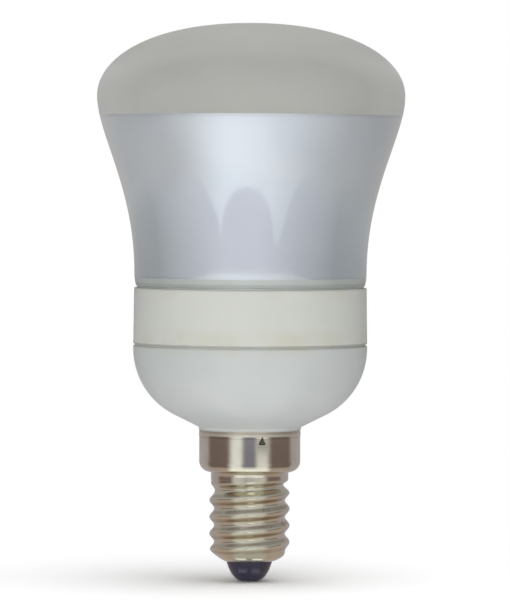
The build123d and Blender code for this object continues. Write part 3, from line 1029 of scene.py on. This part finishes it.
def skirt_shade(nodes, sizes):
    """White in front with a dark strip in the middle, brown at the sides and grey behind.

    The shades narrow towards the cap, so that their edges look upright in its rounded corner too.
    The strip ends close to the cap, where the card is at its brightest. The card's lower part shows
    in the neck, where the strip is faint and the front duller and wider. A dim patch shows round the
    front stake, where the pressed sheet looks elsewhere.
    """
    close_white = (1.25, 1.25, 1.19)
    stake_angle = radians(26)
    neck_edge = 17.7 * MM, 17.8 * MM
    angle, level = front_angle(nodes)
    out = nodes.axis_distance()
    close = nodes.maths("POWER", nodes.maths("DIVIDE", 9 * MM, out), 2.2)
    narrowing = nodes.maths("ADD", nodes.times(nodes.maths("MINIMUM", close, 0.75), 0.58), 1.0)
    aside = nodes.times(ring_angle(nodes), narrowing)
    in_neck = nodes.spread(level, *neck_edge, 1.0, 0.0)
    bright = nodes.mix(nodes.spread(out, 8.8 * MM, 11.5 * MM, 1.0, 0.0), WHITE, close_white)
    bright = nodes.darken(bright, in_neck, share=0.32)
    strip = nodes.times(
        nodes.ease(aside, radians(8), radians(21), 1.0, 0.0), nodes.spread(out, 8.6 * MM, 11.8 * MM),
        nodes.spread(level, *neck_edge, 0.35, 1.0))
    front = nodes.mix(strip, bright, sizes.skirt_strip)
    dent = nodes.times(
        nodes.ease(nodes.apart(angle, stake_angle), radians(7), radians(16), 0.8, 0.0),
        nodes.ease(level, 20.2 * MM, 20.9 * MM), nodes.ease(level, 22.1 * MM, 22.8 * MM, 1.0, 0.0))
    front = nodes.darken(front, dent)
    near_cap = nodes.spread(out, 9.2 * MM, 10.6 * MM, 1.0, 0.0)
    side = nodes.mix(near_cap, sizes.skirt_side, sizes.thread_side)
    from_edge = nodes.maths("SUBTRACT", aside, nodes.times(in_neck, radians(9)))
    front = ring_shade(nodes, from_edge, front, (40.5, side))
    return ring_shade(nodes, aside, front, (99, sizes.cap_back))


def thread_shade(nodes, sizes):
    """Pale in front with a white glint in the middle, brown at the sides and grey behind."""
    glint_white, end_white = (1.5, 1.5, 1.42), (1.2, 1.2, 1.15)
    glint_angle = radians(5)
    angle, level = front_angle(nodes)
    aside = ring_angle(nodes)
    out = nodes.axis_distance()
    glint = nodes.ease(nodes.apart(angle, glint_angle), radians(8), radians(13), 1.0, 0.0)
    wall = nodes.mix(glint, sizes.thread_front, glint_white)
    dish = nodes.darken(sizes.thread_dish, nodes.spread(out, 8 * MM, 14 * MM, 0.32, 0.0))
    end = nodes.darken(end_white, nodes.ease(aside, radians(7), radians(12), 0.75, 0.0))
    dish = nodes.mix(nodes.spread(out, 4.8 * MM, 6 * MM, 1.0, 0.0), dish, end)
    front = nodes.mix(nodes.spread(level, 0.5 * MM, 0.6 * MM), dish, wall)
    return ring_shade(nodes, aside, front, (46, sizes.thread_side), (108, sizes.cap_back))


def flag_shade(nodes, sizes):
    """Pale in the middle, greyer towards the ends and a little greyer low down."""
    angle, level = front_angle(nodes)
    aside = nodes.spread(nodes.apart(angle, radians(-5)), radians(12), radians(72))
    shade = nodes.mix(aside, sizes.flag, sizes.flag_side)
    return nodes.darken(shade, nodes.spread(level, 51.5 * MM, 58.5 * MM, 0.115, 0.0))


def flag_cover(nodes):
    """Whole in the middle. The wings fade out upwards."""
    angle, level = front_angle(nodes)
    middle = nodes.spread(nodes.maths("ABSOLUTE", angle), radians(19), radians(20), 1.0, 0.0)
    return nodes.maths("MAXIMUM", middle, nodes.ease(level, 57.5 * MM, 62.5 * MM, 1.0, 0.0))


def veil_cover(nodes):
    """A thin veil, which fades out upwards."""
    return nodes.spread(front_angle(nodes)[1], 55 * MM, 60 * MM, 0.25, 0.0)


def seen_from_above(nodes):
    """Whole from above and from inside, and clear from below."""
    return nodes.maths("SUBTRACT", 1.0, nodes.add("NewGeometry").outputs["Backfacing"])


def flag_top(angle):
    """The flag's upper edge: an arch in the middle, and a wing on each side that rises outwards."""
    middle, half, spring, rise, wing_top = -2.4, 18.2, 53.8, 5.3, 63.0
    aside = (angle - middle) / half
    if abs(aside) < 1:
        return (spring + rise * (1 - aside ** 2) ** 0.5) * MM
    left_wing, right_wing = (20.9, 55.6, 0.43), (19.6, 54.2, 0.52)
    start, foot, slope = left_wing if angle < middle else right_wing
    return min(foot + slope * max(abs(angle) - start, 0.0), wing_top) * MM


def flag_bottom(angle):
    """The flag's lower edge, which hangs lower at the sides."""
    level, drop, drop_start, drop_end = 52.0, 6.0, 30, 60
    aside = min(max((abs(angle) - drop_start) / (drop_end - drop_start), 0.0), 1.0)
    return (level - drop * aside) * MM


def add_cards(sizes):
    """Stands the cards that only reflections show around the bulb."""
    def add_round_card(name, outline, material):
        rows = [[card_point(radius, angle, level) for angle in sweep(-180, 180)] for radius, level in outline]
        ribbon(name, rows, material)

    lift = 0.4 * MM
    wrap, ring, flag, veil = 110 * MM, 40 * MM, 34 * MM, 34.5 * MM
    wrap_top, ring_top, ring_split = 300 * MM, 25 * MM, 13.5 * MM
    veil_low, veil_high = 52 * MM, 60 * MM
    thread_inside, dish_inside, dish_level = 4.0 * MM, 7.9 * MM, 17.9 * MM
    wrap_glow = glow_material("Wrap card", sizes, wrap_shade)
    add_round_card("wrap_card", [(ring, lift), (wrap, lift), (wrap, wrap_top)], wrap_glow)
    thread_glow = glow_material("Thread ring", sizes, thread_shade)
    add_round_card("thread_ring", [(thread_inside, lift), (ring, lift), (ring, ring_split)], thread_glow)
    skirt_glow = glow_material("Skirt ring", sizes, skirt_shade, seen_from_above)
    add_round_card("skirt_dish", [(dish_inside, dish_level), (ring, dish_level)], skirt_glow)
    add_round_card("skirt_ring", [(ring, ring_split), (ring, ring_top)], skirt_glow)
    veil_glow = glow_material("Veil", sizes, flag_shade, veil_cover)
    add_round_card("veil", [(veil, veil_low), (veil, veil_high)], veil_glow)
    angles = sweep(-180, 180, 4)
    rows = [[card_point(flag, angle, edge(angle)) for angle in angles] for edge in (flag_bottom, flag_top)]
    ribbon("front_flag", rows, glow_material("Front flag", sizes, flag_shade, flag_cover))


class BULB_OT_stage(Operator):
    """Add the floor, the cards that reflect, the light and the camera"""

    bl_idname = "bulb.stage"
    bl_label = "Stage"

    def execute(self, context):
        sizes = context.scene.bulb_stage
        half = sizes.floor_size / 2
        corners = [(-half, -half, 0), (half, -half, 0), (half, half, 0), (-half, half, 0)]
        stage_piece("floor", corners, [(0, 1, 2, 3)], floor_material(sizes))
        add_cards(sizes)
        self.add_world(context, sizes)
        key_size = sizes.key_width, sizes.key_height
        top_size = sizes.top_size, sizes.top_size
        table_size = sizes.table_size, sizes.table_size
        in_front, overhead, on_table = (-0.125, -0.86, 0.105), (0.06, -0.05, 0.7), (0.0, 0.0, 0.0005)
        self.add_light("key_light", sizes.key_power, key_size, in_front)
        self.add_light("top_light", sizes.top_power, top_size, overhead)
        self.add_light("table_light", sizes.table_power, table_size, on_table)
        self.add_camera(context, sizes)
        context.scene.view_settings.view_transform = "Standard"
        return {"FINISHED"}

    def add_world(self, context, sizes):
        """Makes all around white to look at, and dimmer as a light."""
        world = bpy.data.worlds.new("Studio")
        nodes = emptied(world)
        sky = nodes.add("Background", Color=WHITE, Strength=nodes.between(seen(nodes), sizes.ambient, 1.0))
        nodes.show(sky.outputs["Background"], "OutputWorld")
        context.scene.world = world

    def add_light(self, name, watts, size, spot):
        """Adds a soft light that points at the bulb and isn't mirrored in it."""
        lamp = bpy.data.lights.new(name, "AREA")
        lamp.energy = watts
        lamp.shape = "RECTANGLE"
        lamp.size, lamp.size_y = size
        light = add_object(name, lamp)
        light.location = spot
        bulb_middle = Vector((0.0, 0.0, 0.055))
        light.rotation_euler = (bulb_middle - light.location).to_track_quat("-Z", "Y").to_euler()
        light.visible_camera = False
        light.visible_glossy = False

    def add_camera(self, context, sizes):
        """Adds the camera, in front of the bulb."""
        lens = bpy.data.cameras.new("camera")
        lens.lens = sizes.lens
        camera = add_object("camera", lens)
        camera.location = (sizes.camera_offset, -sizes.camera_distance, sizes.camera_height)
        camera.rotation_euler = (pi / 2 - sizes.camera_dip, -sizes.camera_roll, 0.0)
        context.scene.camera = camera


class BULB_PT_panel(Panel):
    """Lists the pieces of the bulb and its stage"""

    bl_idname = "BULB_PT_panel"
    bl_label = "Reflector Bulb"
    bl_space_type = "VIEW_3D"
    bl_region_type = "UI"
    bl_category = "Reflector Bulb"

    def draw(self, context):
        for operator in OPERATORS:
            self.layout.operator(operator.bl_idname)
        for group in SETTINGS:
            column = self.layout.column()
            for name in group.__annotations__:
                column.prop(getattr(context.scene, SETTINGS[group]), name)


SETTINGS = {
    GlassSettings: "bulb_glass",
    PlasticSettings: "bulb_plastic",
    CapSettings: "bulb_cap",
    StageSettings: "bulb_stage",
}
OPERATORS = (
    BULB_OT_envelope,
    BULB_OT_collar,
    BULB_OT_housing,
    BULB_OT_screw_shell,
    BULB_OT_insulator,
    BULB_OT_contact,
    BULB_OT_stage,
)


def register():
    for group, name in SETTINGS.items():
        bpy.utils.register_class(group)
        setattr(bpy.types.Scene, name, PointerProperty(type=group))
    for kind in (*OPERATORS, BULB_PT_panel):
        bpy.utils.register_class(kind)


def unregister():
    for kind in (BULB_PT_panel, *reversed(OPERATORS)):
        bpy.utils.unregister_class(kind)
    for group, name in SETTINGS.items():
        delattr(bpy.types.Scene, name)
        bpy.utils.unregister_class(group)


def main():
    register()
    bpy.ops.bulb.envelope()
    bpy.ops.bulb.collar()
    bpy.ops.bulb.housing()
    bpy.ops.bulb.screw_shell()
    bpy.ops.bulb.insulator()
    bpy.ops.bulb.contact()
    bpy.ops.bulb.stage()


if __name__ == "__main__":
    main()
